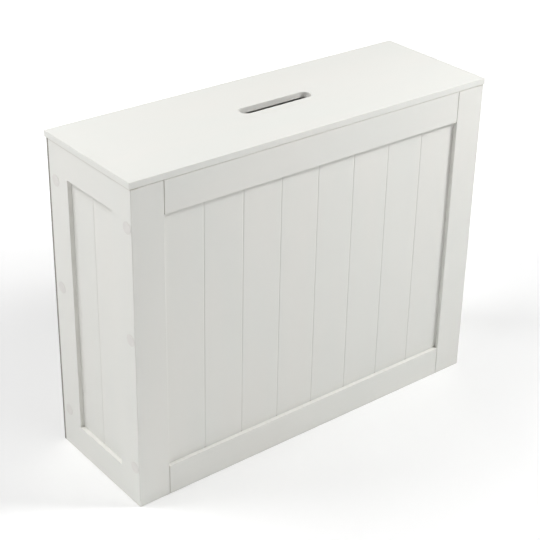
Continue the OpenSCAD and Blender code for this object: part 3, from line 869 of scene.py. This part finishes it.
# %% Light the paper on the floor
PAPER, PAPER_SHADE = (0.975, 0.975, 0.975, 1.0), (0.96, 0.96, 0.96, 1.0)
NEAR_GLOW, FAR_GLOW, BACKDROP_GLOW = 0.1, 0.42, 0.9
FAR_BAND, BACKDROP_NEAR, BACKDROP_FAR = (1.4, 4.0), (0.25, 0.9), (0.9, 2.6)
BACKDROP_WAY = (0.62, 0.78)


def towards_backdrop(east, north):
    """How far a place or a direction lies the way that the photographer looks."""
    return east * BACKDROP_WAY[X] + north * BACKDROP_WAY[Y]


finish, shader, places = start_finish("floor_paper")
across, depth, _ = places.parts()
past_side = (across.size() - cad_high.x).most(0.0)
past_front = (depth.size() - cad_high.y).most(0.0)
backdrop = towards_backdrop(across, depth)
lit_paper = backdrop.rise(*BACKDROP_NEAR) + backdrop.rise(*BACKDROP_FAR)
far_paper = past_side.diagonal(past_front).rise(*FAR_BAND) * FAR_GLOW
glow = far_paper.most(lit_paper * (BACKDROP_GLOW / 2))
close_finish(
    shader,
    Base_Color=places.noise(1.5).rise(0.3, 0.7).blend(PAPER, PAPER_SHADE),
    Roughness=0.85 + places.noise(900.0, roughness=0.6) * 0.1,
    Emission_Color=glow.most(NEAR_GLOW),
    Emission_Strength=1.0,
    Specular_IOR_Level=0.2,
)
put_on(floor, finish)
print("glow of the paper: near", NEAR_GLOW, " far", FAR_GLOW, " backdrop", BACKDROP_GLOW)

# %% [markdown]
# ## The lamps
#
# The shadows in the photograph tell where its lamps stood. The right stile
# throws a shadow on the panel that is as wide as the panel is deep, and the top
# rail throws one that is a little longer: so the main light comes from the
# front right, halfway up. One lamp could give it, but two share it, a small near
# one and a strong one further off, which keeps the shadow's edge soft at the
# foot and crisp at the top. The left side is lit from high up too, because the
# ledge of its recess is brighter than its face, and two large lamps share that.
# One lamp stands low behind for the rim of the lid and of the slot.

# %% Hang the lamps
AT_FRONT, AT_SIDE, AT_MIDDLE = (0.1, 0.0, 0.3), (-0.3, 0.0, 0.25), (0.0, 0.0, 0.25)

# Place, aim, width and height in metres, and power in watts
lamps = {
    "key_near": ((0.9, -0.8, 1.4), AT_FRONT, 0.5, 0.5, 15.9),
    "key_far": ((2.4, -2.0, 2.4), AT_FRONT, 0.7, 0.7, 18.5),
    "side_front": ((-1.8, -0.2, 1.8), AT_SIDE, 1.0, 1.0, 10.4),
    "side_high": ((-1.2, 0.8, 2.0), AT_SIDE, 1.0, 1.0, 26.4),
    "low_behind": ((0.3, 2.4, 0.6), AT_MIDDLE, 1.8, 0.8, 14.7),
}


def hang_softbox(name, place, aim, width, height, watts):
    """A rectangular lamp at place that faces aim."""
    lamp_data = bpy.data.lights.new(name, "AREA")
    lamp_data.shape = "RECTANGLE"
    lamp_data.size, lamp_data.size_y = width, height
    lamp_data.energy = watts
    lamp = bpy.data.objects.new(name, lamp_data)
    lamp.location = place
    lamp.rotation_euler = (Vector(aim) - Vector(place)).to_track_quat("-Z", "Y").to_euler()
    lamp.visible_camera = False
    bpy.context.scene.collection.objects.link(lamp)


for name, settings in lamps.items():
    hang_softbox(name, *settings)
    print("lamp", name, "at", round(Vector(settings[0]).length, 2), "m")

# %% [markdown]
# ## The studio's walls
#
# Beyond the floor is the studio, bright where the photograph looks at its paper
# and pale grey on the other sides, and dark overhead, where only the lamps give
# light. Walls could be built of planes, but all that is seen of them is their
# brightness. So the world is given one that follows the direction: a wall is a
# range of low directions, and it fades out towards the top.

# %% Paint the studio's walls
PAPER_WALL, FAR_WALL, DARK_CEILING = 0.80, 0.27, 0.02
PAPER_TOP, FAR_TOP = (0.50, 0.30), (0.30, 0.0)
BEHIND_BAND = (0.1, 0.6)

world = bpy.data.worlds.new("studio")
world.use_nodes = True
walls = world.node_tree.nodes["Background"]
directions = world.node_tree.nodes.new("ShaderNodeTexCoord").outputs["Generated"]
east, north, skyward = Layer(directions).parts()
behind_box = towards_backdrop(east, north).rise(*BEHIND_BAND)
paper_wall = skyward.rise(*PAPER_TOP) * (behind_box * PAPER_WALL)
far_wall = skyward.rise(*FAR_TOP) * FAR_WALL
wall_light = DARK_CEILING + paper_wall.most(far_wall)
world.node_tree.links.new(wall_light.socket, walls.inputs["Strength"])
walls.inputs["Color"].default_value = (1.0, 1.0, 1.0, 1.0)
bpy.context.scene.world = world
bpy.context.scene.view_settings.view_transform = "Standard"
print("walls: paper", PAPER_WALL, " others", FAR_WALL, " ceiling", DARK_CEILING)

# %% [markdown] Nothing was added to the box.
